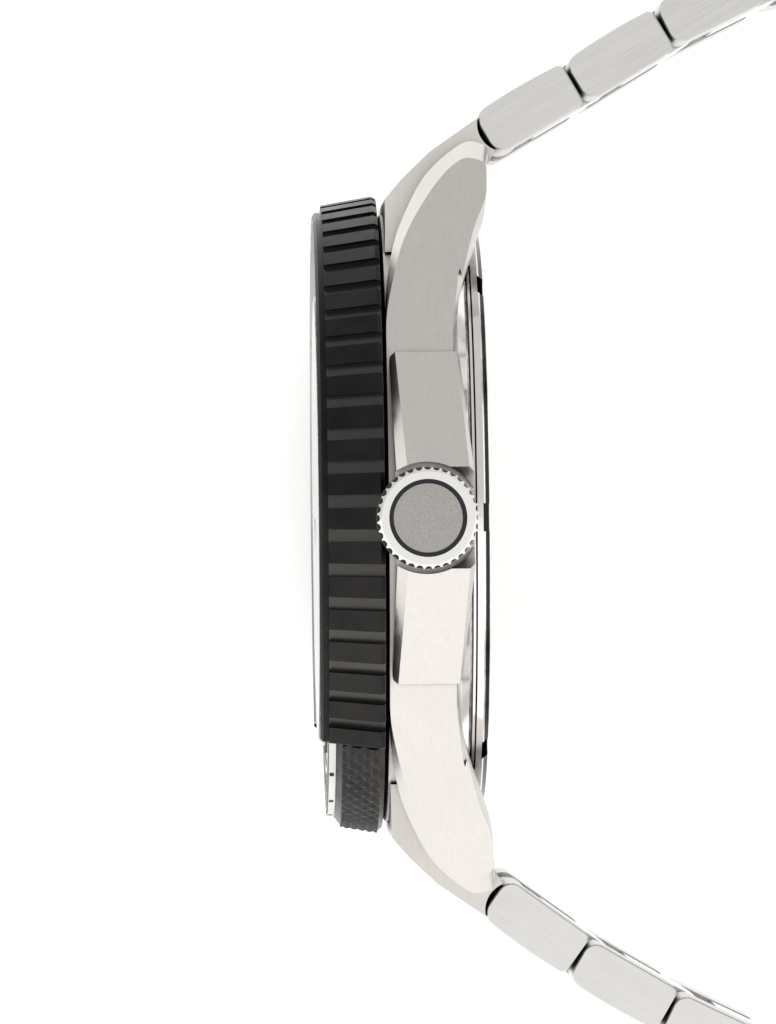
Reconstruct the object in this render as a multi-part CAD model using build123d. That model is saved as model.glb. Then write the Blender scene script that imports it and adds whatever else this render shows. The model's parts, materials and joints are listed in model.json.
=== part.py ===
from build123d import *
import os
from math import atan2, cos, degrees, radians, sin

# A steel dive watch with a closed bracelet, lying on its left side with the crown up.
# Every piece is drawn dial up: X to 3 o'clock, Y to 12 o'clock, Z out of the dial, origin at the
# centre of the case back.  It is then turned so that the crown points along +Z, 12 o'clock along
# +Y and the dial along -X.
LAY_ON_SIDE = Rot(0, -90, 0)

# Heights above the case back's outer face
BACK_RIM_TOP = 0.85
BACK_SEAT = 0.97
CASE_BOTTOM = 1.4
CASE_TOP = 6.9
BEZEL_BOTTOM = 7.0
TOOTH_BOTTOM = 7.1
TOOTH_TOP = 10.9
RIM_TOP = 11.5
INSERT_SEAT = 10.4
NECK_TOP = 10.8
CRYSTAL_SEAT = 10.2
CRYSTAL_TOP = 11.5
DIAL_Z = 7.6
DIAL_THICK = 0.4

# Radii of the head
BEZEL_R = 22.5
BEZEL_DIAL_R = 21.9
RIM_R = 21.4
KNURL_R = 21.85
KNURL_TOP = 10.0
CASE_R = 21.2
BACK_R = 20.4
BACK_THREAD_R = 17.6
BACK_SLOTS = 7
NECK_R = 17.4
BEZEL_BORE_R = 17.45
CRYSTAL_R = 15.9
MOVEMENT_BORE_R = 14.8
MOVEMENT_R = 13.0

# Rotating bezel
TEETH = 60
GROOVE_WIDTH = 0.88
GROOVE_DEPTH = 0.36
TOOTH_BLANK = 2.5
KNURL_START = 225
KNURL_SPAN = 90
INSERT_IN_R = 17.9
INSERT_OUT_R = 20.8
INSERT_THICK = 0.5

# Crown and stem
CROWN_Z = 4.35
CROWN_R = 3.4
CROWN_IN = 22.75
CROWN_OUT = 26.7
CROWN_FLUTES = 36
CROWN_DISC_R = 2.3
CROWN_RING_R = 2.58
STEM_R = 0.45
TUBE_R = 1.3

# Lugs and bracelet
LUG_IN = 11.2
LUG_ROOT = (18.4, 11.2)
LUG_TIP = (14.4, 25.0)
LUG_BEVEL = 1.2
LUG_DEPTH = 8.0
LUG_TAIL = -5.0
LUG_BEND = 1.5
GUARD_START = (18.9, 11.2)
GUARD_END = (24.3, 3.4)
GUARD_FACET = 0.6
GUARD_ROOT = 4.0
BAR_Y = 23.4
BAR_Z = 2.6
BAR_R = 0.75
LINK_PITCH = 7.25
LINK_HALF_THICK = 1.6
LINK_HALF_WIDTH = 10.9
LINK_TAPER = 0.22
TONGUE_HALF_WIDTH = 4.4
RAIL_INNER = 4.5
EYE_R = 1.55
PIN_R = 0.5
PIN_GAP = 0.05
RAIL_END_GAP = 0.25
END_ROOM = 0.35
RAIL_BULGE = 0.15
RAIL_CORNER = 1.0
RAIL_END_CORNER = 0.45
# Where the first pivot of each strand is, and each link's outward lean from straight back
STRANDS = {
    "12": {"pivot": (26.95, -1.68), "leans": (30, 31, 26, 9.7, -11.6, -32.8, -55.7, -76)},
    "6": {"pivot": (26.95, -1.68), "leans": (36, 30.5, 26, 5.7, -13.8, -32.8, -53.3, -71.7)},
}

# Folding clasp: heights are below the case back
CLASP_PIVOT_Z = -48.4
FOLD_Y_12 = 17.7
FOLD_Y_6 = -16.3
COVER_HALF_WIDTH = 9.6
COVER_WALL = 0.8
COVER_OUT_Z = -50.4
COVER_PLATE_Z = -49.6
COVER_EDGE_Z = -46.1
BLADE_HALF_WIDTH = 6.5
BASE_HALF_WIDTH = 7.5
BASE_Z = -46.5
BASE_THICK = 1.0
BARREL_R = 1.0
BUTTON_LENGTH = 5.0
BUTTON_HEIGHT = 1.5
BUTTON_Y = 12.0

# Movement
PLATE_BOTTOM = 5.5
PLATE_TOP = 6.8
BRIDGE_BOTTOM = 2.9
BRIDGE_TOP = 3.7
ARBOR_R = 0.3
HAND_AXLE_R = 0.35

os.makedirs("parts", exist_ok=True)


def save(name, *solids):
    """Turn the piece to its place and write it to its own file."""
    shape = solids[0] if len(solids) == 1 else Compound(list(solids))
    export_step(LAY_ON_SIDE * shape, f"parts/{name}.step")


def disc(radius, low, high, x=0.0, y=0.0):
    """An upright cylinder between two heights."""
    return Pos(x, y, low) * Cylinder(radius, high - low, align=(Align.CENTER, Align.CENTER, Align.MIN))


def ring(outer, inner, low, high, x=0.0, y=0.0):
    """An upright tube between two heights."""
    return disc(outer, low, high, x, y) - disc(inner, low - 1, high + 1, x, y)


def turned(points, arc=360.0):
    """A turned piece from its half section, given as (radius, height) points."""
    return revolve(Plane.XZ * make_face(Polyline(*points, close=True)), Axis.Z, arc)


def side_profile(points, half_width, inner=None):
    """A (y, z) outline drawn out across the watch, on both sides if it starts off the middle."""
    face = make_face(Polyline(*points, close=True))
    if inner is None:
        return extrude(Plane.YZ * face, half_width, both=True)
    rail = extrude(Plane.YZ.offset(inner) * face, half_width - inner)
    return [rail, mirror(rail, Plane.YZ)]


def cross_pin(radius, half_length, y, z):
    """A pin lying across the watch."""
    return Pos(0, y, z) * Rot(0, 90, 0) * Cylinder(radius, 2 * half_length)


def stem_cylinder(radius, start, end):
    """A cylinder on the crown's axis, between two distances from the dial's centre."""
    length = end - start
    return Pos(start, 0, CROWN_Z) * Rot(0, 90, 0) * Cylinder(
        radius, length, align=(Align.CENTER, Align.CENTER, Align.MIN))


def joined(first, others):
    """All the given solids fused into one."""
    for other in others:
        first = first + other
    return first


# ---- Case ---------------------------------------------------------------------------------------

def lug_outline(top, crest, tip, foot, bottom):
    """A lug's side outline: level at the case, then a smooth crest to the tip and a smooth foot back."""
    start = (LUG_TAIL, top)
    bend = (LUG_BEND, top)
    heel = (LUG_BEND, bottom)
    end = (LUG_TAIL, bottom)
    edges = [Line(start, bend), Spline(bend, *crest, tip, tangents=((1, 0), (-0.35, -1))),
             Spline(tip, *foot, heel, tangents=((-0.35, -1), (-1, 0.1))), Line(heel, end), Line(end, start)]
    return make_face(edges)


def lug(side_x, side_y):
    """One lug: a curved horn whose side face leans in towards its tip, with a wide bevel round it."""
    outer = lug_outline(6.85, [(6.5, 6.5), (8.7, 6.0), (10.7, 5.2), (13.3, 3.7), (14.7, 2.2), (15.4, 0.9)],
                        (15.2, 0.0), [(13.6, -0.3), (11.4, -0.2), (9.0, 0.55), (5.5, 1.5)], 2.1)
    face = lug_outline(6.8, [(5.5, 6.2), (7.3, 5.75), (8.7, 5.2), (11.2, 3.8), (13.0, 2.4), (13.8, 1.1)],
                       (13.6, 0.2), [(12.6, -0.2), (11.2, -0.15), (9.0, 0.65), (5.5, 1.6)], 2.3)
    root = Vector(*LUG_ROOT, 0)
    along = (Vector(*LUG_TIP, 0) - root).normalized()
    side = Plane(origin=root, x_dir=along, z_dir=along.rotate(Axis.Z, -90))
    shoulder = side.offset(-LUG_BEVEL)
    horn = loft([shoulder * outer, side * face], ruled=True)
    horn = horn + extrude(shoulder * outer, -LUG_DEPTH)
    horn = horn - Pos(LUG_IN - 10, 0, 0) * Box(20, 80, 40)
    if side_x < 0:
        horn = mirror(horn, Plane.YZ)
    if side_y < 0:
        horn = mirror(horn, Plane.XZ)
    return horn


def crown_guard(side_y):
    """A faceted block that shields one side of the crown, with a sloping face between two facets."""
    start = Vector(*GUARD_START, 0)
    along = Vector(*GUARD_END, 0) - start
    outward = along.rotate(Axis.Z, 90).normalized()
    slope = Plane(origin=start, x_dir=along.normalized(), z_dir=outward)
    length = along.length
    face = [(0, -6.25), (0, -2.1), (length, -1.5), (length, -5.65)]
    foot = [(0, -6.65), (0, -1.9), (length, -1.15), (length, -6.35)]
    foot_plane = slope.offset(-GUARD_FACET)
    block = loft([foot_plane * make_face(Polyline(*foot, close=True)),
                  slope * make_face(Polyline(*face, close=True))], ruled=True)
    block = block + extrude(foot_plane * make_face(Polyline(*foot, close=True)), -GUARD_ROOT)
    return block if side_y > 0 else mirror(block, Plane.XZ)


def make_mid_case():
    groove_in = BACK_R - 0.35
    body = turned([(BACK_THREAD_R + 0.05, BACK_SEAT), (BACK_R, BACK_SEAT), (BACK_R, 1.13), (groove_in, 1.13),
                   (groove_in, 1.24), (BACK_R, 1.24), (CASE_R - 0.6, CASE_BOTTOM), (CASE_R, 1.95),
                   (CASE_R, CASE_TOP - 0.1), (CASE_R - 0.1, CASE_TOP), (NECK_R, CASE_TOP),
                   (NECK_R, NECK_TOP),
                   (CRYSTAL_R + 0.55, NECK_TOP), (CRYSTAL_R + 0.55, CRYSTAL_SEAT), (15.0, CRYSTAL_SEAT),
                   (15.0, CRYSTAL_SEAT - 0.3), (16.6, CRYSTAL_SEAT - 0.3), (16.6, DIAL_Z),
                   (MOVEMENT_BORE_R, DIAL_Z), (MOVEMENT_BORE_R, 2.6), (BACK_THREAD_R + 0.05, 2.6)])
    horns = [lug(side_x, side_y) for side_x in (-1, 1) for side_y in (-1, 1)]
    case = joined(body, horns + [crown_guard(-1), crown_guard(1)])
    case = case - disc(MOVEMENT_BORE_R, 2.6, DIAL_Z) - disc(BACK_THREAD_R + 0.05, 0, 2.6)
    case = case - stem_cylinder(CROWN_R + 0.35, CROWN_IN - 0.75, CROWN_OUT)
    case = case - stem_cylinder(TUBE_R, MOVEMENT_BORE_R - 1, CROWN_IN)
    for side_y in (-1, 1):
        case = case - cross_pin(BAR_R, LUG_IN + 1.6, side_y * BAR_Y, BAR_Z)
    return case


def make_case_back():
    back = turned([(0, 0.35), (15.5, 0.35), (16.0, 0), (BACK_R - 0.4, 0), (BACK_R, 0.4),
                   (BACK_R, BACK_RIM_TOP), (BACK_THREAD_R, BACK_RIM_TOP), (BACK_THREAD_R, 2.5),
                   (16.4, 2.5), (16.4, 1.2), (0, 1.2)])
    slot = Pos(BACK_R, 0, 0) * Box(2.6, 1.9, 0.9)
    for index in range(BACK_SLOTS):
        back = back - Rot(0, 0, index * 360 / BACK_SLOTS) * slot
    return back


# ---- Bezel --------------------------------------------------------------------------------------

def make_bezel():
    toothed = turned([(BEZEL_BORE_R, 7.3), (RIM_R - 0.3, BEZEL_BOTTOM), (RIM_R, TOOTH_BOTTOM),
                      (BEZEL_R - 0.15, TOOTH_BOTTOM), (BEZEL_R, TOOTH_BOTTOM + 0.3),
                      (BEZEL_DIAL_R, TOOTH_TOP), (RIM_R, TOOTH_TOP),
                      (RIM_R, RIM_TOP - 0.2), (RIM_R - 0.25, RIM_TOP), (INSERT_OUT_R, RIM_TOP),
                      (INSERT_OUT_R, INSERT_SEAT), (INSERT_IN_R, INSERT_SEAT), (INSERT_IN_R, TOOTH_TOP),
                      (BEZEL_BORE_R, TOOTH_TOP)], 360 - KNURL_SPAN)
    knurled = turned([(BEZEL_BORE_R, 7.3), (RIM_R - 0.3, BEZEL_BOTTOM), (RIM_R, TOOTH_BOTTOM),
                      (KNURL_R - 0.2, TOOTH_BOTTOM), (KNURL_R, 7.4), (RIM_R, KNURL_TOP),
                      (INSERT_OUT_R + 0.1, INSERT_SEAT), (INSERT_IN_R, INSERT_SEAT), (INSERT_IN_R, TOOTH_TOP),
                      (BEZEL_BORE_R, TOOTH_TOP)], KNURL_SPAN)
    bezel = Rot(0, 0, KNURL_START + KNURL_SPAN) * toothed + Rot(0, 0, KNURL_START) * knurled
    # A groove's floor runs parallel to the tooth faces and stops short of the rim
    height = TOOTH_TOP - TOOTH_BOTTOM
    middle = (TOOTH_TOP + TOOTH_BOTTOM) / 2
    flank = degrees(atan2(BEZEL_R - BEZEL_DIAL_R, height))
    floor = Pos((BEZEL_R + BEZEL_DIAL_R) / 2 - GROOVE_DEPTH, 0, middle) * Rot(0, -flank, 0)
    groove = floor * Pos(TOOTH_BLANK / 2, 0, 0) * Box(TOOTH_BLANK, GROOVE_WIDTH, height + TOOTH_BLANK)
    groove = groove & (Pos(RIM_R + TOOTH_BLANK / 2, 0, middle)
                       * Box(TOOTH_BLANK, TOOTH_BLANK, height + 0.3))
    pitch = 360 / TEETH
    cuts = []
    for tooth in range(TEETH):
        angle = (tooth + 0.5) * pitch
        if not KNURL_START < angle < KNURL_START + KNURL_SPAN:
            cuts.append(Rot(0, 0, angle) * groove)
    return bezel - cuts


def make_bezel_insert():
    insert = ring(INSERT_OUT_R - 0.03, INSERT_IN_R + 0.03, INSERT_SEAT, INSERT_SEAT + INSERT_THICK)
    return insert - disc(0.8, INSERT_SEAT + 0.3, RIM_TOP + 1, 0, (INSERT_OUT_R + INSERT_IN_R) / 2)


# ---- Crown --------------------------------------------------------------------------------------

def make_crown():
    crown = stem_cylinder(CROWN_R, CROWN_IN, CROWN_OUT)
    crown = chamfer(crown.edges().filter_by(GeomType.CIRCLE), 0.3)
    crown = crown - stem_cylinder(CROWN_DISC_R, CROWN_OUT - 0.15, CROWN_OUT + 1)
    crown = crown - (stem_cylinder(CROWN_RING_R, CROWN_OUT - 0.45, CROWN_OUT + 1)
                     - stem_cylinder(CROWN_DISC_R, CROWN_OUT - 1, CROWN_OUT + 2))
    crown = crown - stem_cylinder(1.75, CROWN_IN - 1, CROWN_IN + 1.6)
    crown = crown - stem_cylinder(STEM_R, CROWN_IN, CROWN_IN + 2.4)
    flute = Pos(CROWN_IN + 3.4, 0, 0) * Rot(0, 90, 0) * Pos(CROWN_R + 0.06, 0, 0) * Cylinder(0.26, 6.0)
    for index in range(CROWN_FLUTES):
        crown = crown - Pos(0, 0, CROWN_Z) * Rot(index * 360 / CROWN_FLUTES, 0, 0) * flute
    return crown


# ---- Movement -----------------------------------------------------------------------------------

# Each wheel: place, radius, low and high faces
WHEELS = {
    "mainspring_barrel": ((-5.6, 4.9), 4.2, 4.1, 5.3),
    "third_wheel": ((-4.6, -4.0), 2.6, 4.8, 5.0),
    "escape_wheel": ((0.4, -7.2), 1.5, 4.5, 4.7),
    "balance_wheel": ((6.3, -4.5), 3.6, 4.6, 5.0),
}
PALLET_AT = (2.76, -6.12)


def make_wheel(place, radius, low, high):
    """A spoked wheel on its own arbor, which runs between the bridge and the main plate."""
    x, y = place
    rim = ring(radius, radius * 0.8, low, high, x, y)
    hub = disc(radius * 0.25, low, high, x, y)
    spokes = [Pos(x, y, (low + high) / 2) * Rot(0, 0, angle) * Box(radius * 1.8, radius * 0.16, high - low)
              for angle in (0, 60, 120)]
    arbor = disc(ARBOR_R, BRIDGE_TOP - 0.4, PLATE_BOTTOM + 0.4, x, y)
    return joined(rim, [hub] + spokes + [arbor])


def pivot_holes():
    """The bearing holes in the bridge and the main plate."""
    places = [wheel[0] for wheel in WHEELS.values()] + [PALLET_AT]
    return [disc(ARBOR_R + 0.05, BRIDGE_TOP - 0.45, PLATE_BOTTOM + 0.45, x, y) for x, y in places]


def make_movement():
    plate = disc(MOVEMENT_R, PLATE_BOTTOM, PLATE_TOP) - pivot_holes() - disc(2.0, 5.0, 7.0)
    pillars = [disc(1.0, BRIDGE_TOP, PLATE_BOTTOM, 11.4 * cos(radians(a)), 11.4 * sin(radians(a)))
               for a in (55, 175, 250, 300)]
    bridge = disc(MOVEMENT_R - 0.2, BRIDGE_BOTTOM, BRIDGE_TOP) - pivot_holes()
    bridge = joined(bridge, [disc(1.2, 1.9, BRIDGE_BOTTOM)])
    bridge = bridge - disc(HAND_AXLE_R + 0.05, BRIDGE_TOP - 0.4, BRIDGE_TOP + 0.1)
    save("main_plate", joined(plate, pillars))
    save("train_bridge", bridge)
    for name, (place, radius, low, high) in WHEELS.items():
        save(name, make_wheel(place, radius, low, high))
    x, y = PALLET_AT
    fork = Pos(x, y, 4.0) * Rot(0, 0, 25) * Box(3.6, 0.6, 0.25)
    anchor = Pos(x, y, 4.0) * Rot(0, 0, 115) * Box(2.2, 0.5, 0.25)
    save("pallet_fork", joined(fork, [anchor, disc(ARBOR_R, BRIDGE_TOP - 0.4, PLATE_BOTTOM + 0.4, x, y)]))
    weight = turned([(9.5, 1.55), (12.6, 1.55), (12.6, 2.5), (9.5, 2.5)], 180)
    web = turned([(1.2, 1.9), (9.5, 1.9), (9.5, 2.3), (1.2, 2.3)], 180)
    hub = ring(2.2, 1.25, 1.55, 2.5)
    save("winding_rotor", joined(hub, [weight, web]) - disc(1.25, 1, 3))
    holder = ring(MOVEMENT_BORE_R - 0.05, MOVEMENT_R + 0.05, 2.75, PLATE_TOP)
    save("movement_ring", holder - stem_cylinder(STEM_R + 0.3, 12, 16))


def make_hands():
    """Each hand on its own tube or arbor, one inside the next."""
    tip = {"hour": 8.6, "minute": 13.2, "seconds": 13.6}
    hour = ring(1.5, 1.05, 7.1, 8.5) + ring(1.9, 1.05, 8.3, 8.5)
    hour = joined(hour, [blade_hand(1.7, tip["hour"], 1.3, 8.3, 8.5)])
    minute = ring(1.0, 0.45, 5.2, 9.0) + ring(1.5, 0.45, 8.8, 9.0) + ring(2.9, 0.45, 4.9, 5.2)
    minute = joined(minute, [blade_hand(1.3, tip["minute"], 1.1, 8.8, 9.0)])
    seconds = disc(HAND_AXLE_R, BRIDGE_TOP - 0.35, 9.55) + disc(0.9, 9.3, 9.5)
    seconds = joined(seconds, [Pos(0, 4.8, 9.4) * Box(0.3, 2 * (tip["seconds"] - 4.8), 0.2)])
    counterweight = Pos(0, -3.4, 9.4) * Box(0.9, 1.6, 0.2)
    seconds = joined(seconds, [counterweight])
    save("hour_hand", Rot(0, 0, 60) * hour)
    save("minute_hand", Rot(0, 0, -54) * minute)
    save("seconds_hand", Rot(0, 0, -170) * seconds)


def blade_hand(start, tip, half_width, low, high):
    """A straight sword-shaped hand that points to 12 o'clock."""
    outline = [(-0.4, start - 0.6), (-half_width, tip * 0.7), (0, tip), (half_width, tip * 0.7),
               (0.4, start - 0.6)]
    return extrude(Plane.XY.offset(low) * make_face(Polyline(*outline, close=True)), high - low)


def make_dial_and_crystal():
    dial = disc(16.5, DIAL_Z, DIAL_Z + DIAL_THICK) - disc(1.6, 7, 9)
    save("dial", dial)
    batons = []
    for hour in range(1, 12):
        length = 2.6 if hour % 3 == 0 else 1.6
        baton = Pos(0, 13.6 - length / 2, DIAL_Z + DIAL_THICK + 0.15) * Box(1.3, length, 0.3)
        batons.append(Rot(0, 0, -30 * hour) * baton)
    triangle = make_face(Polyline((-1.4, 13.7), (1.4, 13.7), (0, 10.9), close=True))
    batons.append(extrude(Plane.XY.offset(DIAL_Z + DIAL_THICK) * triangle, 0.3))
    save("hour_markers", *batons)
    save("chapter_ring", turned([(16.5, 8.0), (14.6, 8.0), (15.2, CRYSTAL_SEAT - 0.3),
                                 (16.5, CRYSTAL_SEAT - 0.3)]))
    glass = turned([(0, CRYSTAL_SEAT), (CRYSTAL_R, CRYSTAL_SEAT), (CRYSTAL_R, CRYSTAL_TOP - 0.5),
                    (CRYSTAL_R - 0.5, CRYSTAL_TOP - 0.05), (0, CRYSTAL_TOP)])
    save("crystal", glass)
    save("crystal_gasket", ring(CRYSTAL_R + 0.5, CRYSTAL_R, CRYSTAL_SEAT, NECK_TOP + 0.2))
    save("case_back_gasket", ring(19.2, 18.2, BACK_RIM_TOP, BACK_SEAT))
    save("bezel_gasket", ring(18.5, 17.5, CASE_TOP, 7.2))


# ---- Bracelet -----------------------------------------------------------------------------------

def pivots(strand):
    """The (y, z) pivots along one strand, drawn towards +Y."""
    y, z = STRANDS[strand]["pivot"]
    places = [(y, z)]
    for lean in STRANDS[strand]["leans"]:
        y += LINK_PITCH * sin(radians(lean))
        z -= LINK_PITCH * cos(radians(lean))
        places.append((y, z))
    return places


def place_link(solid, pivot, lean):
    """Set a link, drawn along -Z from its pivot with its outer face to +Y, into the strand."""
    return Pos(0, pivot[0], pivot[1]) * Rot(lean, 0, 0) * solid


def rail_outline():
    """A rail's side outline: round-cornered, with a slightly full outer edge."""
    t = LINK_HALF_THICK
    far = -(LINK_PITCH - t - RAIL_END_GAP)
    edges = [Line((-t, t), (-t, far)), Line((-t, far), (t, far)),
             ThreePointArc((t, far), (t + RAIL_BULGE, (t + far) / 2), (t, t)), Line((t, t), (-t, t))]
    outline = make_face(edges)
    outline = fillet(outline.vertices().sort_by(Axis.Y)[-2:], RAIL_CORNER)
    return fillet(outline.vertices().sort_by(Axis.Y)[:2], RAIL_END_CORNER)


def make_link(half_width):
    """One link: two outer rails, a centre bar that reaches into the next link, and its cross pin."""
    t = LINK_HALF_THICK
    rail = extrude(Plane.YZ.offset(RAIL_INNER) * rail_outline(), half_width - RAIL_INNER)
    rail = chamfer(rail.faces().sort_by(Axis.X)[-1].edges(), 0.1)
    rails = rail + mirror(rail, Plane.YZ)
    rails = rails - cross_pin(PIN_R, half_width - 0.8, 0, 0)
    start = -(EYE_R + 0.3)
    bar_face = make_face(Polyline((-t, start), (-t, -LINK_PITCH), (t, -LINK_PITCH), (t, start), close=True))
    bar = extrude(Plane.YZ * bar_face, TONGUE_HALF_WIDTH, both=True)
    bar = bar & (Pos(0, 0, 0) * Box(2 * TONGUE_HALF_WIDTH, 2 * EYE_R, 4 * LINK_PITCH))
    bar = bar + cross_pin(EYE_R, TONGUE_HALF_WIDTH, 0, -LINK_PITCH)
    bridge = Pos(0, 0, start - 1.2) * Box(2 * RAIL_INNER + 0.4, 2 * EYE_R - 0.4, 2.0)
    body = rails + bar + bridge - cross_pin(PIN_R + PIN_GAP, TONGUE_HALF_WIDTH + 1, 0, -LINK_PITCH)
    pin = cross_pin(PIN_R, half_width - 0.8, 0, 0)
    return [body, pin]


def make_end_link(strand):
    """The fitted piece between the lugs, hollowed to the case and bored for its spring bar."""
    y, z = STRANDS[strand]["pivot"]
    outline = [(17.0, 6.7), (21.9, 6.6), (23.3, 5.4), (25.1, 3.5), (26.9, 0.9), (27.9, -0.6),
               (y, z), (25.0, -0.9), (23.0, 0.3), (21.0, 0.9), (17.0, 1.9)]
    block = side_profile(outline, LUG_IN - 0.1)
    block = block - disc(CASE_R + 0.15, -5, 12)
    knuckle_room = LINK_HALF_THICK + END_ROOM
    rooms = side_profile([(y - knuckle_room, z - knuckle_room), (y + knuckle_room, z - knuckle_room),
                          (y + knuckle_room, z), (y - knuckle_room, z)], LUG_IN, RAIL_INNER - 0.1)
    for room in rooms:
        block = block - room
    half_rail = (LUG_IN - RAIL_INNER) / 2
    for side in (-1, 1):
        middle = side * (RAIL_INNER + half_rail)
        block = block - Pos(middle, y, z) * Rot(0, 90, 0) * Cylinder(knuckle_room, 2 * half_rail + 0.2)
    block = block + cross_pin(EYE_R, TONGUE_HALF_WIDTH, y, z)
    block = block - cross_pin(PIN_R + PIN_GAP, LUG_IN, y, z)
    block = block - cross_pin(BAR_R + 0.05, LUG_IN + 1, BAR_Y, BAR_Z)
    return block


def make_bracelet():
    for strand in STRANDS:
        places = pivots(strand)
        pieces = [("end_link_" + strand, [make_end_link(strand)])]
        for index, lean in enumerate(STRANDS[strand]["leans"]):
            parts = make_link(LINK_HALF_WIDTH - LINK_TAPER * index)
            placed = [place_link(part, places[index], lean) for part in parts]
            pieces.append((f"link_{strand}_{index + 1}", placed))
        for name, solids in pieces:
            if strand == "6":
                solids = [mirror(solid, Plane.XZ) for solid in solids]
            save(name, *solids)


# ---- Clasp --------------------------------------------------------------------------------------

def slab(half_width, y_low, y_high, z_low, z_high):
    """A flat bar across the bracelet."""
    middle = ((y_low + y_high) / 2, (z_low + z_high) / 2)
    return Pos(0, *middle) * Box(2 * half_width, y_high - y_low, z_high - z_low)


def make_clasp():
    end_y, end_z = pivots("6")[-1]
    end_y = -end_y
    # Base blade: clevis on the last link, flat bar next to the wrist, ears at the far fold
    base = slab(BASE_HALF_WIDTH, end_y + 2.05, FOLD_Y_12, BASE_Z - BASE_THICK / 2, BASE_Z + BASE_THICK / 2)
    for x in (-1, 1):
        ear_middle = x * (RAIL_INNER + BASE_HALF_WIDTH) / 2
        knuckle = Pos(ear_middle, end_y, end_z) * Rot(0, 90, 0) * Cylinder(
            1.5, BASE_HALF_WIDTH - RAIL_INNER)
        web = Pos(ear_middle, end_y + 1.3, end_z + 0.6) * Box(BASE_HALF_WIDTH - RAIL_INNER, 2.2, 1.0)
        fold_middle = x * (BLADE_HALF_WIDTH + 0.1 + BASE_HALF_WIDTH) / 2
        ear_width = BASE_HALF_WIDTH - BLADE_HALF_WIDTH - 0.1
        ear = Pos(fold_middle, FOLD_Y_12, CLASP_PIVOT_Z) * Rot(0, 90, 0) * Cylinder(BARREL_R, ear_width)
        neck = Pos(fold_middle, FOLD_Y_12, (CLASP_PIVOT_Z + BASE_Z) / 2) * Box(
            ear_width, 2 * BARREL_R, BASE_Z - CLASP_PIVOT_Z)
        base = joined(base, [knuckle, web, ear, neck])
    base = base - cross_pin(PIN_R, BASE_HALF_WIDTH - 0.6, end_y, end_z)
    base = base - cross_pin(PIN_R, BASE_HALF_WIDTH - 0.4, FOLD_Y_12, CLASP_PIVOT_Z)
    save("clasp_base_blade", base, cross_pin(PIN_R, BASE_HALF_WIDTH - 0.6, end_y, end_z),
         cross_pin(PIN_R, BASE_HALF_WIDTH - 0.4, FOLD_Y_12, CLASP_PIVOT_Z))
    # Middle blade: a strip with a rolled eye at each end
    strip = slab(BLADE_HALF_WIDTH, FOLD_Y_6, FOLD_Y_12, CLASP_PIVOT_Z - 0.4, CLASP_PIVOT_Z + 0.4)
    for y in (FOLD_Y_6, FOLD_Y_12):
        strip = strip + cross_pin(BARREL_R, BLADE_HALF_WIDTH, y, CLASP_PIVOT_Z)
        strip = strip - cross_pin(PIN_R + PIN_GAP, BLADE_HALF_WIDTH + 1, y, CLASP_PIVOT_Z)
    save("clasp_middle_blade", strip)
    # Cover: a shallow channel over both blades
    length = (FOLD_Y_6 - 0.5, FOLD_Y_12 + 0.1)
    cover = slab(COVER_HALF_WIDTH, *length, COVER_OUT_Z, COVER_EDGE_Z)
    cover = chamfer(cover.edges().filter_by(Axis.Y).group_by(Axis.Z)[0], 0.6)
    cover = chamfer(cover.edges().filter_by(Axis.X).group_by(Axis.Z)[0], 0.5)
    cover = cover - slab(COVER_HALF_WIDTH - COVER_WALL, -30, 30, COVER_PLATE_Z, 0)
    cover = cover - cross_pin(PIN_R, COVER_HALF_WIDTH - 0.3, FOLD_Y_6, CLASP_PIVOT_Z)
    window = Pos(0, BUTTON_Y, CLASP_PIVOT_Z) * Box(30, BUTTON_LENGTH + 0.1, BUTTON_HEIGHT + 0.1)
    cover = cover - window
    save("clasp_cover", cover, cross_pin(PIN_R, COVER_HALF_WIDTH - 0.3, FOLD_Y_6, CLASP_PIVOT_Z))
    for name, side in (("clasp_button_3", 1), ("clasp_button_9", -1)):
        cap = Pos(side * 9.15, BUTTON_Y, CLASP_PIVOT_Z) * Box(2.3, BUTTON_LENGTH, BUTTON_HEIGHT)
        save(name, chamfer(cap.edges().filter_by(Axis.X), 0.3))


def make_stem_and_tube():
    stem = stem_cylinder(STEM_R, 9.6, CROWN_IN + 2.4)
    groove = stem_cylinder(STEM_R + 0.5, 11.0, 11.5) - stem_cylinder(STEM_R - 0.15, 10.9, 11.6)
    save("winding_stem", stem - groove)
    lever = Pos(11.25, 0, CROWN_Z) * Box(0.36, 2.6, 1.2) - stem_cylinder(STEM_R - 0.12, 10, 13)
    save("setting_lever", lever)
    tube = stem_cylinder(TUBE_R, MOVEMENT_BORE_R + 0.05, CROWN_IN + 0.7)
    save("crown_tube", tube - stem_cylinder(STEM_R + 0.05, 14, 25))
    save("crown_gasket", stem_cylinder(1.7, CROWN_IN + 0.72, CROWN_IN + 1.3)
         - stem_cylinder(STEM_R + 0.02, 20, 26))


def make_bars_and_click():
    bars = []
    for side_y in (-1, 1):
        bars.append(cross_pin(BAR_R, LUG_IN + 1.6, side_y * BAR_Y, BAR_Z))
    save("spring_bars", *bars)
    spring = Rot(0, 0, 100) * turned([(18.7, CASE_TOP), (19.4, CASE_TOP), (19.4, 7.05), (18.7, 7.05)], 40)
    save("bezel_click_spring", spring)
    screws = []
    for angle in (20, 140, 260):
        x = 12.2 * cos(radians(angle))
        y = 12.2 * sin(radians(angle))
        screws.append(disc(0.6, 2.55, BRIDGE_BOTTOM, x, y))
    save("movement_screws", *screws)


save("mid_case", make_mid_case())
save("case_back", make_case_back())
save("bezel", make_bezel())
save("bezel_insert", make_bezel_insert())
save("bezel_pip", disc(0.75, INSERT_SEAT + 0.3, INSERT_SEAT + 0.8, 0, (INSERT_OUT_R + INSERT_IN_R) / 2))
save("crown", make_crown())
make_stem_and_tube()
make_movement()
make_hands()
make_dial_and_crystal()
make_bracelet()
make_clasp()
make_bars_and_click()
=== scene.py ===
import json
import math

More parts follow.
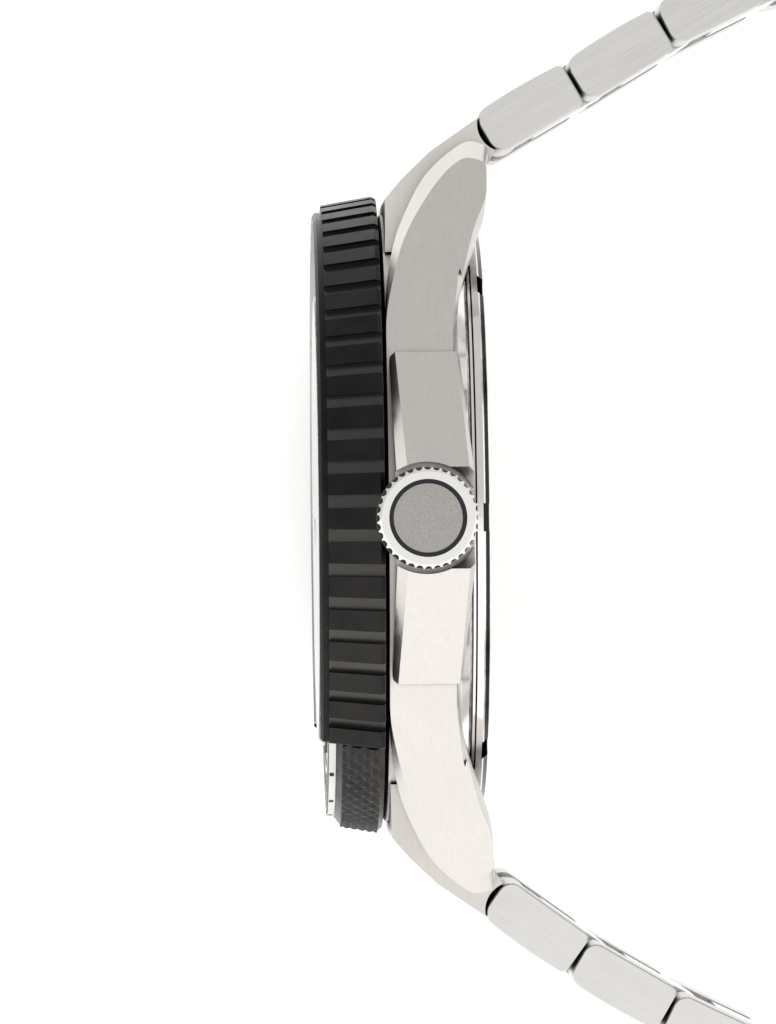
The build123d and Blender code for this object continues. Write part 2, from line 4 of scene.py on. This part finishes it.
import bmesh
import bpy
from mathutils import Matrix, Vector


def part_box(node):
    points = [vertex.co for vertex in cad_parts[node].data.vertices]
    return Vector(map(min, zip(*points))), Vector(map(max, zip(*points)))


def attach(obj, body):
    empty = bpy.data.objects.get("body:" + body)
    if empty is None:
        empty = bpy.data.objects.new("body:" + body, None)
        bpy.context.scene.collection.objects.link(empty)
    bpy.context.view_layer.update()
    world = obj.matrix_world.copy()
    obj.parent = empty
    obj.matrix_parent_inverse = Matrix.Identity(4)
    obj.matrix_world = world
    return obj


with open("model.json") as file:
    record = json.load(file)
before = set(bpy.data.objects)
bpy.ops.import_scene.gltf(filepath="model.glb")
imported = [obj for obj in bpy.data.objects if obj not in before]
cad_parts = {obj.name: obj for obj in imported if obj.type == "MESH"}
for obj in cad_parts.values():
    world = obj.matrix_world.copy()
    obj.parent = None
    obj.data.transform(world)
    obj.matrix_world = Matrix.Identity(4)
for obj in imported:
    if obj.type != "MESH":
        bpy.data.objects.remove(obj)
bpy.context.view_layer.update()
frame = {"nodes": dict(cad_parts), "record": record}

# The watch lies on its left side: +Z along the crown, +Y to 12 o'clock, -X out of the dial.
MM = 0.001
FLOOR_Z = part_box("bezel")[0][2]
DIAL_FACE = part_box("dial")[0][0]
INSERT_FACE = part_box("bezel_insert")[0][0]
KNURL_START = 225
KNURL_SPAN = 90

CENTRE_ROW_HALF = 4.45 * MM
FOOT_TOP_X = -1.98 * MM
FOOT_R = 21.25 * MM

CROWN_AXIS_X = -4.35 * MM
CROWN_FRONT_Z = 26.0 * MM
CROWN_DISC_R = 2.29 * MM
CROWN_GROOVE_R = 2.44 * MM
CROWN_GROOVE_HALF = 0.15 * MM
FLANK_SHADE = (25.2 * MM, 26.1 * MM)

TOOTH_LEAN = 0.166
TOOTH_FLOOR_R = 23.55 * MM
TOOTH_RIM_R = 21.45 * MM
INSERT_WALL_R = 20.88 * MM
INSERT_WALL_X = -10.85 * MM
SLOT_R = 18.6 * MM
SLOT_HALF = 1.7 * MM
SLOT_X = -0.03 * MM

MIRROR_TINT = (0.80, 0.79, 0.78, 1)
SMUDGE_TINT = (0.70, 0.69, 0.67, 1)
BLOTCH_TINT = (0.60, 0.58, 0.56, 1)
LINK_TINT = (0.70, 0.695, 0.685, 1)
# Painted highlights on the bezel: pale grey for the wall round the insert, a lighter tone for the
# floors between the teeth
WALL_HIGHLIGHT_TINT = (0.72, 0.71, 0.70, 1)
FLOOR_HIGHLIGHT_TINT = (0.055, 0.053, 0.050, 1)


# ---- Node helpers -------------------------------------------------------------------------------

class Nodes:
    """A small wrapper for building one material's node tree."""

    def __init__(self, name):
        self.material = bpy.data.materials.new(name)
        self.material.use_nodes = True
        self.tree = self.material.node_tree
        self.shader = self.tree.nodes["Principled BSDF"]
        self.place = self.add("ShaderNodeTexCoord").outputs["Object"]

    def add(self, kind, **values):
        node = self.tree.nodes.new(kind)
        for key, value in values.items():
            setattr(node, key, value)
        return node

    def feed(self, socket, value):
        if isinstance(value, bpy.types.NodeSocket):
            self.tree.links.new(value, socket)
        else:
            socket.default_value = value

    def math(self, operation, first, second=0.5):
        node = self.add("ShaderNodeMath", operation=operation)
        self.feed(node.inputs[0], first)
        self.feed(node.inputs[1], second)
        return node.outputs[0]

    def scaled(self, scale, turn=0.0):
        """The object's own coordinates, turned about Z and then stretched."""
        turned = self.add("ShaderNodeVectorRotate", rotation_type="Z_AXIS")
        self.feed(turned.inputs["Vector"], self.place)
        turned.inputs["Angle"].default_value = math.radians(turn)
        node = self.add("ShaderNodeMapping")
        self.feed(node.inputs["Vector"], turned.outputs[0])
        node.inputs["Scale"].default_value = scale
        return node.outputs[0]

    def crevice(self, reach=0.7 * MM, low=0.3, high=0.8):
        """1 deep in gaps and grooves, 0 on open faces: the mask for painted shade in crevices."""
        node = self.add("ShaderNodeAmbientOcclusion", samples=6)
        node.inputs["Distance"].default_value = reach
        return self.span(node.outputs["AO"], 1, 0, low, high)

    def noise(self, vector, detail=3.0):
        node = self.add("ShaderNodeTexNoise")
        self.feed(node.inputs["Vector"], vector)
        node.inputs["Scale"].default_value = 1.0
        node.inputs["Detail"].default_value = detail
        node.inputs["Roughness"].default_value = 0.6
        return node.outputs["Fac"]

    def smudge(self):
        """Slow fingerprints and wipe marks on polished metal."""
        return self.noise(self.scaled((420, 420, 420)), 4.0)

    def hair(self):
        """Hairline scratches left by polishing."""
        return self.noise(self.scaled((9000, 500, 9000), 20), 1.0)

    def span(self, value, low, high, from_low=0.3, from_high=0.7):
        node = self.add("ShaderNodeMapRange")
        self.feed(node.inputs["Value"], value)
        node.inputs["From Min"].default_value = from_low
        node.inputs["From Max"].default_value = from_high
        node.inputs["To Min"].default_value = low
        node.inputs["To Max"].default_value = high
        return node.outputs[0]

    def axes(self):
        """The object's own X, Y and Z."""
        split = self.add("ShaderNodeSeparateXYZ")
        self.feed(split.inputs[0], self.place)
        return split.outputs["X"], split.outputs["Y"], split.outputs["Z"]

    def distance(self, first, second):
        """The length of a flat vector from its two parts."""
        first_square = self.math("MULTIPLY", first, first)
        second_square = self.math("MULTIPLY", second, second)
        return self.math("SQRT", self.math("ADD", first_square, second_square))

    def near(self, value, middle, half):
        """1 within half of the middle, 0 beyond."""
        gap = self.math("ABSOLUTE", self.math("SUBTRACT", value, middle))
        return self.math("LESS_THAN", gap, half)

    def mix(self, factor, first, second):
        node = self.add("ShaderNodeMix", data_type="RGBA")
        self.feed(node.inputs["Factor"], factor)
        self.feed(node.inputs[6], first)
        self.feed(node.inputs[7], second)
        return node.outputs[2]

    def bump(self, height, distance, strength):
        node = self.add("ShaderNodeBump")
        self.feed(node.inputs["Height"], height)
        node.inputs["Distance"].default_value = distance
        node.inputs["Strength"].default_value = strength
        return node.outputs["Normal"]

    def set(self, **sockets):
        names = {"color": "Base Color", "metallic": "Metallic", "roughness": "Roughness",
                 "normal": "Normal", "ior": "IOR", "transmission": "Transmission Weight"}
        for key, value in sockets.items():
            self.feed(self.shader.inputs[names[key]], value)
        return self.material


def brushed_steel(name, grain_angle=0.0, color=(0.695, 0.665, 0.635, 1), roughness=0.3,
                  polish=None):
    """Steel scratched along a line at an angle from +Y, mirror-polished where polish(n) is 1."""
    n = Nodes(name)
    fine = n.noise(n.scaled((9000, 300, 9000), grain_angle), 2.0)
    coarse = n.noise(n.scaled((3500, 90, 3500), grain_angle))
    blotch = n.noise(n.scaled((220, 220, 220)))
    lines = n.math("ADD", n.math("MULTIPLY", fine, 0.6), n.math("MULTIPLY", coarse, 0.4))
    dark = tuple(c * 0.88 for c in color[:3]) + (1,)
    tint = n.mix(n.span(lines, 0, 1), dark, color)
    tint = n.mix(n.span(blotch, 0, 0.25), tint, BLOTCH_TINT)
    rough = n.math("ADD", n.span(lines, -0.06, 0.08), n.span(blotch, roughness, roughness + 0.06))
    height = lines
    if polish is not None:
        mirror = polish(n)
        matt = n.math("SUBTRACT", 1.0, mirror)
        tint = n.mix(mirror, tint, MIRROR_TINT)
        rough = n.math("ADD", n.math("MULTIPLY", rough, matt), n.math("MULTIPLY", mirror, 0.09))
        height = n.math("MULTIPLY", lines, matt)
    # Painted shade: near black in gaps and grooves
    tint = n.mix(n.crevice(), tint, (0.06, 0.057, 0.054, 1))
    return n.set(color=tint, metallic=1.0, roughness=rough, normal=n.bump(height, 0.000008, 0.8))


def centre_row(n):
    """1 on the bracelet's polished middle row, 0 on its brushed rails."""
    _, _, z = n.axes()
    return n.math("LESS_THAN", n.math("ABSOLUTE", z), CENTRE_ROW_HALF)


def case_foot(n):
    """1 on the polished band round the foot of the case, 0 above it and on the lugs."""
    x, y, z = n.axes()
    low = n.math("GREATER_THAN", x, FOOT_TOP_X)
    return n.math("MULTIPLY", low, n.math("LESS_THAN", n.distance(y, z), FOOT_R))


def polished_steel(name):
    """Mirror steel with a few hairline marks and faint smudges."""
    n = Nodes(name)
    smudge = n.smudge()
    hair = n.hair()
    rough = n.math("ADD", n.span(smudge, 0.08, 0.15), n.span(hair, 0, 0.05, 0.6, 0.8))
    tint = n.mix(n.span(smudge, 0, 0.3), MIRROR_TINT, SMUDGE_TINT)
    # Painted shade: near black in gaps and grooves
    tint = n.mix(n.crevice(), tint, (0.05, 0.05, 0.05, 1))
    return n.set(color=tint, metallic=1.0, roughness=rough, normal=n.bump(hair, 0.000001, 0.3))


def crown_steel(name):
    """A polished crown with a blasted matt disc inside a ring groove painted near black as shade.
    """
    n = Nodes(name)
    x, y, z = n.axes()
    radius = n.distance(n.math("SUBTRACT", x, CROWN_AXIS_X), y)
    front = n.math("GREATER_THAN", z, CROWN_FRONT_Z)
    disc = n.math("MULTIPLY", front, n.math("LESS_THAN", radius, CROWN_DISC_R))
    groove = n.math("MULTIPLY", front, n.near(radius, CROWN_GROOVE_R, CROWN_GROOVE_HALF))
    grit = n.noise(n.scaled((14000, 14000, 14000)), 2.0)
    smudge = n.smudge()
    matt = n.mix(n.span(grit, 0, 1), (0.30, 0.29, 0.28, 1), (0.46, 0.45, 0.435, 1))
    tint = n.mix(n.span(smudge, 0, 0.2), (0.78, 0.77, 0.76, 1), SMUDGE_TINT)
    # Painted shade: dark in the crown's gaps and grooves
    tint = n.mix(n.crevice(0.5 * MM, 0.25, 0.7), tint, (0.10, 0.10, 0.10, 1))
    tint = n.mix(disc, tint, matt)
    # Painted shade: the ring groove painted near black
    tint = n.mix(groove, tint, (0.035, 0.035, 0.04, 1))
    # The flank falls into the shade between the crown guards
    tint = n.mix(n.span(z, 0.93, 0, *FLANK_SHADE), tint, (0.03, 0.03, 0.03, 1))
    rough = n.math("ADD", n.span(smudge, 0.09, 0.14), n.math("MULTIPLY", disc, 0.36))
    bump = n.bump(n.math("MULTIPLY", grit, disc), 0.000012, 0.7)
    return n.set(color=tint, metallic=1.0, roughness=rough, normal=bump)


def tooth_floor(n):
    """1 on the floors between the bezel's teeth, 0 on the teeth themselves."""
    x, y, z = n.axes()
    radius = n.distance(y, z)
    upright = n.math("SUBTRACT", radius, n.math("MULTIPLY", x, TOOTH_LEAN))
    low = n.math("LESS_THAN", upright, TOOTH_FLOOR_R)
    return n.math("MULTIPLY", low, n.math("GREATER_THAN", radius, TOOTH_RIM_R))


def bezel_inlay(n, tint):
    """Painted highlights on the coating: a lighter tone on the floors between the teeth, and pale
    grey on the wall round the insert.
    """
    x, y, z = n.axes()
    inside = n.math("LESS_THAN", n.distance(y, z), INSERT_WALL_R)
    wall = n.math("MULTIPLY", inside, n.math("LESS_THAN", x, INSERT_WALL_X))
    return n.mix(wall, n.mix(tooth_floor(n), tint, FLOOR_HIGHLIGHT_TINT), WALL_HIGHLIGHT_TINT)


def black_coating(name, color=(0.006, 0.006, 0.006, 1), worn=(0.021, 0.0195, 0.0185, 1),
                  roughness=0.3, painted_highlights=None):
    """A dark coating on turned metal, paler where handled, with painted highlights from a given
    function of (n, tint) laid over it.
    """
    n = Nodes(name)
    grain = n.noise(n.scaled((16000, 2500, 2500)), 2.0)
    patch = n.noise(n.scaled((260, 260, 260)), 4.0)
    speck = n.noise(n.scaled((5200, 5200, 5200)), 2.0)
    tint = n.mix(n.span(patch, 0, 0.8), color, worn)
    tint = n.mix(n.span(speck, 0, 0.35, 0.66, 0.82), tint, (0.09, 0.085, 0.08, 1))
    # Painted shade: deeper black in the coating's gaps and grooves
    tint = n.mix(n.crevice(0.35 * MM, 0.2, 0.62), tint, (0.0015, 0.0015, 0.0015, 1))
    # Painted highlights laid over the coating, where a function for them is given
    if painted_highlights is not None:
        tint = painted_highlights(n, tint)
    rough = n.span(patch, roughness - 0.05, roughness + 0.1)
    rough = n.math("ADD", rough, n.span(grain, -0.04, 0.06))
    return n.set(color=tint, metallic=0.75, roughness=rough, normal=n.bump(grain, 0.000006, 0.6))


def case_back_steel(name):
    """Polished steel with painted shade, near black, inside the wrench slots of the case back."""
    n = Nodes(name)
    x, y, z = n.axes()
    rim = n.near(n.distance(y, z), SLOT_R, SLOT_HALF)
    slot = n.math("MULTIPLY", rim, n.math("LESS_THAN", x, SLOT_X))
    smudge = n.smudge()
    hair = n.hair()
    tint = n.mix(n.span(smudge, 0, 0.3), (0.80, 0.78, 0.76, 1), (0.70, 0.68, 0.66, 1))
    # Painted shade: near black in gaps and grooves
    tint = n.mix(n.crevice(), tint, (0.05, 0.05, 0.05, 1))
    # Painted shade: the wrench slots painted near black
    tint = n.mix(slot, tint, (0.03, 0.03, 0.03, 1))
    return n.set(color=tint, metallic=1.0, roughness=n.span(smudge, 0.10, 0.17),
                 normal=n.bump(hair, 0.000001, 0.3))


def plain(name, color, roughness, metallic=0.0, mottle=0.15, scale=3000.0):
    """Rubber, paint or plastic with a fine pebble and slow shade changes."""
    n = Nodes(name)
    pebble = n.noise(n.scaled((scale, scale, scale)))
    patch = n.noise(n.scaled((300, 300, 300)))
    dark = tuple(c * (1 - mottle) for c in color[:3]) + (1,)
    tint = n.mix(n.span(patch, 0, 1), dark, color)
    rough = n.span(patch, roughness - 0.05, roughness + 0.07)
    return n.set(color=tint, metallic=metallic, roughness=rough,
                 normal=n.bump(pebble, 0.000004, 0.5))


def sunray_dial(name):
    """A black dial with faint rays from its centre."""
    n = Nodes(name)
    _, y, z = n.axes()
    angle = n.math("ARCTAN2", z, y)
    ray = n.noise(n.math("MULTIPLY", angle, 60.0))
    tint = n.mix(n.span(ray, 0, 1), (0.010, 0.011, 0.013, 1), (0.022, 0.023, 0.026, 1))
    return n.set(color=tint, metallic=0.35, roughness=n.span(ray, 0.42, 0.55),
                 normal=n.bump(ray, 0.000003, 0.4))


def glass(name):
    """Clear crystal with faint smears."""
    n = Nodes(name)
    smear = n.noise(n.scaled((180, 180, 180)))
    return n.set(color=(0.97, 0.985, 0.99, 1), roughness=n.span(smear, 0.0, 0.03),
                 transmission=1.0, ior=1.5)


def striped_plate(name):
    """Rhodium-plated plates with even curved stripes."""
    n = Nodes(name)
    wave = n.add("ShaderNodeTexWave", wave_type="BANDS", bands_direction="Y")
    n.feed(wave.inputs["Vector"], n.place)
    wave.inputs["Scale"].default_value = 180.0
    wave.inputs["Distortion"].default_value = 0.4
    fine = n.noise(n.scaled((6000, 900, 6000)), 2.0)
    rough = n.math("ADD", n.span(wave.outputs["Fac"], 0.16, 0.3, 0, 1), n.span(fine, 0, 0.06))
    tint = n.mix(wave.outputs["Fac"], (0.66, 0.64, 0.60, 1), (0.78, 0.76, 0.72, 1))
    return n.set(color=tint, metallic=1.0, roughness=rough,
                 normal=n.bump(wave.outputs["Fac"], 0.00001, 0.4))


# ---- Finishes -----------------------------------------------------------------------------------

CASE_SIDE = brushed_steel("case_brushed", polish=case_foot)
COVER_STEEL = brushed_steel("clasp_brushed")
LINK_STEEL = {lean: brushed_steel(f"link_brushed_{lean}", lean, LINK_TINT, 0.27, centre_row)
              for lean in (-80, -60, -30, 0, 30, 60, 80)}
CROWN_STEEL = crown_steel("crown_steel")
POLISHED = polished_steel("polished_steel")
BACK_STEEL = case_back_steel("case_back_steel")
# The bezel's coating carries painted highlights on its tooth floors and on the wall round the
# insert
BLACK = black_coating("bezel_coating", painted_highlights=bezel_inlay)
GRIP = black_coating("grip_coating", (0.018, 0.018, 0.018, 1), (0.05, 0.048, 0.045, 1), 0.38)
INSERT = black_coating("insert_coating", (0.012, 0.012, 0.013, 1), (0.02, 0.02, 0.022, 1), 0.42)
LUME = plain("luminous_paint", (0.80, 0.84, 0.76, 1), 0.5)
MARKING = plain("printed_marks", (0.72, 0.72, 0.70, 1), 0.45)
RUBBER = plain("gasket_rubber", (0.02, 0.02, 0.02, 1), 0.6)
DIAL = sunray_dial("dial_black")
GLASS = glass("crystal_glass")
PLATES = striped_plate("striped_plates")
BRASS = plain("gilt_wheels", (0.80, 0.58, 0.24, 1), 0.25, 1.0)
HOLDER = plain("holder_plastic", (0.78, 0.76, 0.70, 1), 0.5)
FINISH = {
    "steel_brushed": COVER_STEEL, "steel_polished": POLISHED, "bezel_black": BLACK,
    "insert_black": INSERT, "lume": LUME, "glass": GLASS, "gasket": RUBBER, "dial_black": DIAL,
    "hand_steel": POLISHED, "movement_nickel": PLATES, "movement_brass": BRASS, "holder": HOLDER,
}
OWN_FINISH = {"mid_case": CASE_SIDE, "end_link_12": CASE_SIDE, "end_link_6": CASE_SIDE,
              "clasp_cover": COVER_STEEL, "crown": CROWN_STEEL, "case_back": BACK_STEEL}


LINK_GRAIN = (60, 60, 60, 80, -80, -60, -30, 0)
SOFT_EDGED = ("link_", "end_link", "mid_case", "clasp", "crown", "bezel", "case_back")
WIDE_EDGED = ("mid", "clasp_cover", "end")


def link_finish(name):
    """The link steel whose grain runs nearest to along this link."""
    low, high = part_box(name)
    strand = 1 if low[1] + high[1] > 0 else -1
    index = int(name.rsplit("_", 1)[1]) - 1
    return LINK_STEEL[LINK_GRAIN[index] * strand]


def dress_cad_nodes():
    """Gives every CAD node its finish and softens its edges."""
    slots = {part["node"]: part["material_slot"] for part in frame["record"]["subparts"]}
    for name, node in frame["nodes"].items():
        material = OWN_FINISH.get(name, FINISH[slots[name]])
        if name.startswith("link_"):
            material = link_finish(name)
        node.data.materials.clear()
        node.data.materials.append(material)
        if name.startswith(SOFT_EDGED):
            bevel = node.modifiers.new("soft_edges", "BEVEL")
            bevel.width = (0.08 if name.startswith(WIDE_EDGED) else 0.04) * MM
            bevel.segments = 2
            bevel.limit_method = "ANGLE"
            bevel.angle_limit = math.radians(32)
            bevel.harden_normals = False


# ---- Knurl --------------------------------------------------------------------------------------

BOX_FACES = ((0, 3, 2, 1), (4, 5, 6, 7), (0, 1, 5, 4), (1, 2, 6, 5), (2, 3, 7, 6), (3, 0, 4, 7))


def on_head(radius, angle, height):
    """A point on the head: radius and angle round the dial axis, height above the case back."""
    turn = math.radians(angle)
    return Vector((-height * MM, radius * math.sin(turn) * MM, radius * math.cos(turn) * MM))


def show(name, mesh, body):
    """Puts a mesh in the scene on a body."""
    piece = bpy.data.objects.new(name, mesh)
    bpy.context.scene.collection.objects.link(piece)
    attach(piece, body)


def mesh_piece(name, points, faces, material, body):
    mesh = bpy.data.meshes.new(name)
    mesh.from_pydata(points, [], faces)
    mesh.validate()
    bm = bmesh.new()
    bm.from_mesh(mesh)
    bmesh.ops.recalc_face_normals(bm, faces=bm.faces)
    bm.to_mesh(mesh)
    bm.free()
    mesh.materials.append(material)
    show(name, mesh, body)


def knurl():
    """The grip's crossed pyramids, standing on the bezel's smooth quarter."""
    low, high = 7.42, 9.97
    low_r, high_r = 21.85, 21.42
    depth, sunk, thick = 0.22, 0.03, 0.4
    across, along = 21, 264
    cells_round, cells_up = 27, 2.4
    margin = 0.8
    front = []
    base = []
    for i in range(along + 1):
        u = i / along
        angle = KNURL_START + margin + (KNURL_SPAN - 2 * margin) * u
        for j in range(across + 1):
            v = j / across
            radius = low_r + (high_r - low_r) * v
            height = low + (high - low) * v
            rise = depth * diamond(u * cells_round, v * cells_up)
            front.append(on_head(radius + rise - sunk, angle, height))
            base.append(on_head(radius - thick, angle, height))
    points = front + base
    faces = []
    count = len(front)
    row = across + 1
    for i in range(along):
        for j in range(across):
            a = i * row + j
            faces.append((a, a + 1, a + row + 1, a + row))
            faces.append((count + a, count + a + row, count + a + row + 1, count + a + 1))
        for j in (0, across):
            a = i * row + j
            faces.append((a, a + row, count + a + row, count + a))
    for i in (0, along):
        for j in range(across):
            a = i * row + j
            faces.append((a, a + 1, count + a + 1, count + a))
    mesh_piece("bezel_knurl", points, faces, GRIP, "bezel")


def diamond(u, v):
    """Height of a field of four-sided points, from 0 in the grooves to 1 at the tips."""
    first = abs(((u + v) % 1.0) - 0.5) * 2
    second = abs(((u - v) % 1.0) - 0.5) * 2
    return max(0.0, min(1.0, 1.25 * (1 - max(first, second))))


def pale_band():
    """A white scale on the insert's open edge over the grip, with dark ticks."""
    low, high = 10.42, 10.88
    inner, outer = 20.78, 20.86
    margin, steps = 0.9, 88
    start, end = KNURL_START + margin, KNURL_START + KNURL_SPAN - margin
    points = []
    faces = []
    for i in range(steps + 1):
        angle = start + (end - start) * i / steps
        for radius, height in ((inner, low), (outer, low), (outer, high), (inner, high)):
            points.append(on_head(radius, angle, height))
    for i in range(steps):
        for k in range(4):
            a = 4 * i + k
            b = 4 * i + (k + 1) % 4
            faces.append((a, b, b + 4, a + 4))
    faces.append((0, 1, 2, 3))
    faces.append(tuple(4 * steps + k for k in range(4)))
    mesh_piece("bezel_edge_band", points, faces, MARKING, "bezel")
    points = []
    faces = []
    first_tick, tick_step, tick_half = 231, 12, 0.6
    sunk_r, proud_r = outer - 0.03, outer + 0.02
    foot, top = low + 0.12, high - 0.04
    for tick in range(first_tick, KNURL_START + KNURL_SPAN, tick_step):
        corner = len(points)
        for angle in (tick - tick_half, tick + tick_half):
            for radius, height in ((sunk_r, foot), (proud_r, foot), (proud_r, top), (sunk_r, top)):
                points.append(on_head(radius, angle, height))
        faces += [tuple(corner + q for q in quad) for quad in BOX_FACES]
    mesh_piece("bezel_edge_ticks", points, faces, INSERT, "bezel")


# ---- Marks --------------------------------------------------------------------------------------

def mark_box(points, faces, radius, angle, height, length, width, thick):
    """Adds one thin radial bar, lying on a face turned to the dial side."""
    start = len(points)
    half = math.degrees(width / 2 / radius)
    for level in (height - 0.05, height + thick):
        for r, a in ((radius - length / 2, -half), (radius + length / 2, -half),
                     (radius + length / 2, half), (radius - length / 2, half)):
            points.append(on_head(r, angle + a, level))
    faces += [tuple(start + q for q in quad) for quad in BOX_FACES]


def minute_marks(name, radius, height, body, material, skip):
    points = []
    faces = []
    for minute in range(60):
        if skip(minute):
            continue
        long = minute % 5 == 0
        mark_box(points, faces, radius + (0 if long else 0.2), 90 - 6 * minute, height,
                 1.3 if long else 0.8, 0.4 if long else 0.18, 0.03)
    mesh_piece(name, points, faces, material, body)


def numeral(text, radius, minute, height, size, body, material):
    """A plain number, read from the dial's centre, standing a hair above its face."""
    curve = bpy.data.curves.new("numeral_" + text, "FONT")
    curve.body = text
    curve.size = size * MM
    curve.extrude = 0.03 * MM
    curve.align_x = "CENTER"
    curve.align_y = "CENTER"
    holder = bpy.data.objects.new("numeral_source_" + text, curve)
    bpy.context.scene.collection.objects.link(holder)
    depsgraph = bpy.context.evaluated_depsgraph_get()
    mesh = bpy.data.meshes.new_from_object(holder.evaluated_get(depsgraph))
    bpy.data.objects.remove(holder)
    # Letters are drawn in X, Y: turn them to face the dial side, top outwards
    face_dial = Matrix(((0, 0, -1), (0, 1, 0), (1, 0, 0))).to_4x4()
    turn = Matrix.Rotation(math.radians(6 * minute), 4, "X")
    where = on_head(radius, 90 - 6 * minute, height)
    mesh.transform(Matrix.Translation(where) @ turn @ face_dial)
    mesh.materials.clear()
    mesh.materials.append(material)
    show("numeral_" + text, mesh, body)


def face_marks():
    insert_height = -INSERT_FACE / MM
    dial_height = -DIAL_FACE / MM
    minute_marks("bezel_minute_marks", 19.4, insert_height, "bezel", MARKING,
                 lambda minute: minute % 10 == 0)
    for minute in (10, 20, 30, 40, 50):
        numeral(str(minute), 19.35, minute, insert_height, 2.6, "bezel", MARKING)
    minute_marks("dial_minute_track", 14.6, dial_height, "head", MARKING,
                 lambda minute: False)


# ---- Stage --------------------------------------------------------------------------------------

def floor():
    """A wide pale floor with a faint glow of its own, which keeps it near white."""
    size = 4.0
    mesh = bpy.data.meshes.new("floor")
    mesh.from_pydata([(-size, -size, FLOOR_Z), (size, -size, FLOOR_Z), (size, size, FLOOR_Z),
                      (-size, size, FLOOR_Z)], [], [(0, 1, 2, 3)])
    surface = plain("pale_floor", (0.93, 0.93, 0.93, 1), 0.9, scale=400.0, mottle=0.01)
    glow = surface.node_tree.nodes["Principled BSDF"].inputs
    glow["Emission Color"].default_value = (1, 1, 1, 1)
    glow["Emission Strength"].default_value = 0.36
    mesh.materials.append(surface)
    piece = bpy.data.objects.new("floor", mesh)
    bpy.context.scene.collection.objects.link(piece)


def area_light(name, location, size, power, color):
    """A square lamp aimed at the origin."""
    data = bpy.data.lights.new(name, "AREA")
    data.shape = "RECTANGLE"
    data.size = data.size_y = size
    data.energy = power
    data.color = color
    lamp = bpy.data.objects.new(name, data)
    lamp.location = location
    lamp.rotation_euler = (-Vector(location)).to_track_quat("-Z", "Y").to_euler()
    bpy.context.scene.collection.objects.link(lamp)


def lights():
    """A bright studio on every side, and one soft lamp to the front left."""
    world = bpy.data.worlds.new("studio")
    world.use_nodes = True
    tree = world.node_tree
    sky = tree.nodes["Background"]
    sky.inputs[0].default_value = (1.0, 0.99, 0.975, 1)
    # A grey studio wall towards 12 o'clock blends overhead into a white one towards 6 o'clock
    grey_wall, white_wall, blend = 0.72, 1.40, 0.2
    split = tree.nodes.new("ShaderNodeSeparateXYZ")
    side = tree.nodes.new("ShaderNodeMapRange")
    side.interpolation_type = "SMOOTHSTEP"
    for name, value in (("From Min", blend), ("From Max", -blend),
                        ("To Min", grey_wall), ("To Max", white_wall)):
        side.inputs[name].default_value = value
    tree.links.new(tree.nodes.new("ShaderNodeTexCoord").outputs["Generated"], split.inputs[0])
    tree.links.new(split.outputs["Y"], side.inputs["Value"])
    tree.links.new(side.outputs[0], sky.inputs[1])
    bpy.context.scene.world = world
    area_light("soft_key", (-0.5, -0.9, 0.6), 0.5, 1.0, (1.0, 0.99, 0.97))


def camera():
    """Looks straight at the crown, from slightly to the dial side."""
    distance = 0.5
    yaw = math.radians(1.4)
    roll = math.radians(-0.6)
    aim = Vector((-0.00637, 0.00042, 0))
    data = bpy.data.cameras.new("camera")
    data.lens = 251
    data.sensor_width = 36
    data.clip_start = 0.01
    eye = bpy.data.objects.new("camera", data)
    spin = Matrix.Rotation(-yaw, 4, "Y") @ Matrix.Rotation(roll, 4, "Z")
    away = Vector((-math.sin(yaw), 0, math.cos(yaw)))
    eye.matrix_world = Matrix.Translation(aim + away * distance) @ spin
    bpy.context.scene.collection.objects.link(eye)
    bpy.context.scene.camera = eye


bpy.context.scene.view_settings.view_transform = "Standard"
camera()
lights()
floor()
dress_cad_nodes()
knurl()
pale_band()
face_marks()
